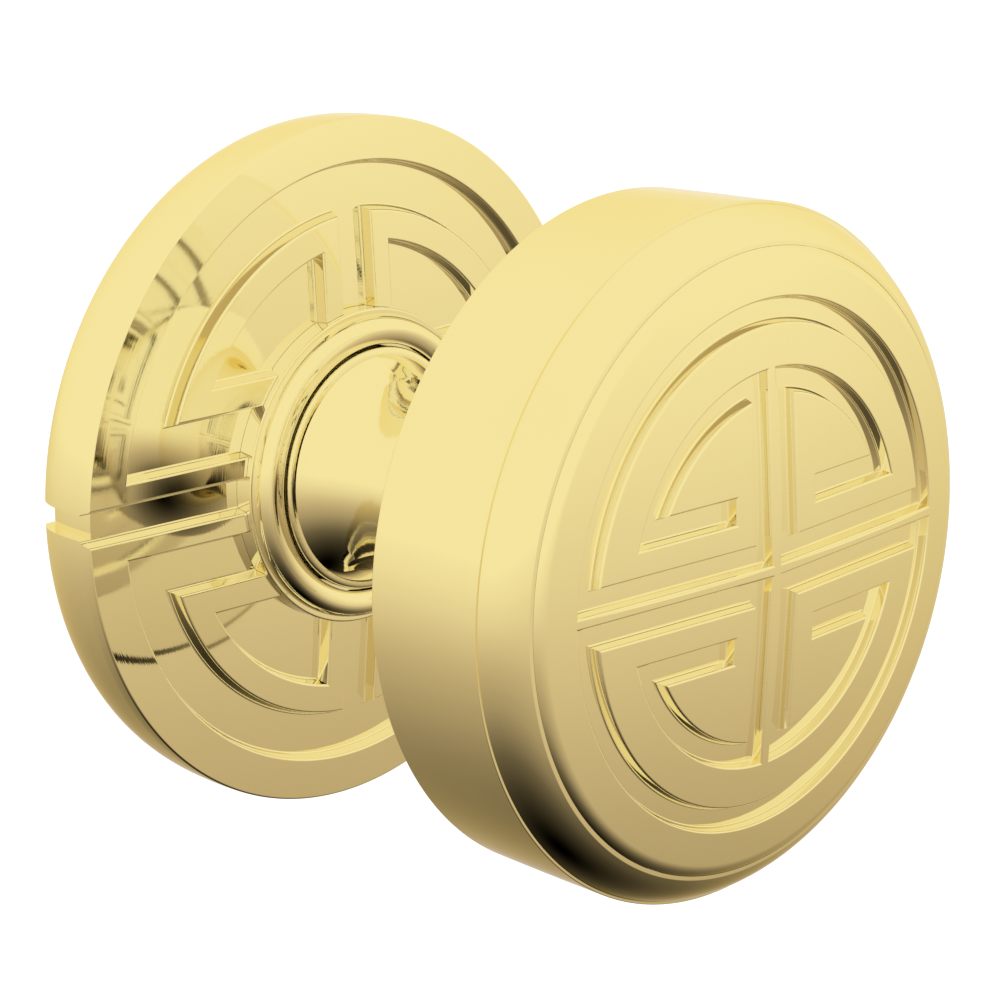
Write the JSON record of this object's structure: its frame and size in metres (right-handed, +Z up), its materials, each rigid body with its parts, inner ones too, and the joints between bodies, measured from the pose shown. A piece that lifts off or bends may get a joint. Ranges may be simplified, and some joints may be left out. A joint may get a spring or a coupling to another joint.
{
  "type": "door knob",
  "caption": "Round polished brass door knob with raised fretwork, turning on a domed round rose that hides its fixing plate and return spring.",
  "frame": {"origin": "centre of the rose's back face, on the spindle's axis", "axes": "+Z up; +Y into the door, so the knob stands out along -Y"},
  "size_m": [0.0664, 0.0862, 0.0666],
  "materials": {
    "polished_brass": "polished",
    "nylon": "moulded",
    "zinc_steel": "zinc plated",
    "spring_steel": "oiled",
    "black_steel": "black oxide",
    "die_cast": "as cast"
  },
  "bodies": {
    "rose": {"rose_cover": "polished_brass", "collar_ring": "polished_brass", "bearing_bush": "nylon", "thrust_washer": "nylon", "mounting_plate": "zinc_steel", "fixing_posts": "zinc_steel", "plate_screws": "zinc_steel", "snap_ring": "spring_steel", "return_spring": "spring_steel", "stop_pins": "black_steel", "spring_cassette": "die_cast", "cassette_lid": "die_cast"},
    "knob": {"knob_shell": "polished_brass", "face_disc": "polished_brass", "neck": "polished_brass", "hub_washer": "zinc_steel", "hub_nut": "zinc_steel", "spindle": "zinc_steel", "grub_screw": "black_steel", "spring_driver": "die_cast", "circlip": "spring_steel", "thrust_shim": "spring_steel"}
  },
  "joints": [
    {"name": "knob_turn", "type": "hinge", "parent": "rose", "child": "knob", "pos_m": [0, 0, 0], "axis": [0, 1, 0], "range_deg": [-55, 55], "stiffness_Nm_per_rad": 0.5, "deforming": ["return_spring"]}
  ]
}
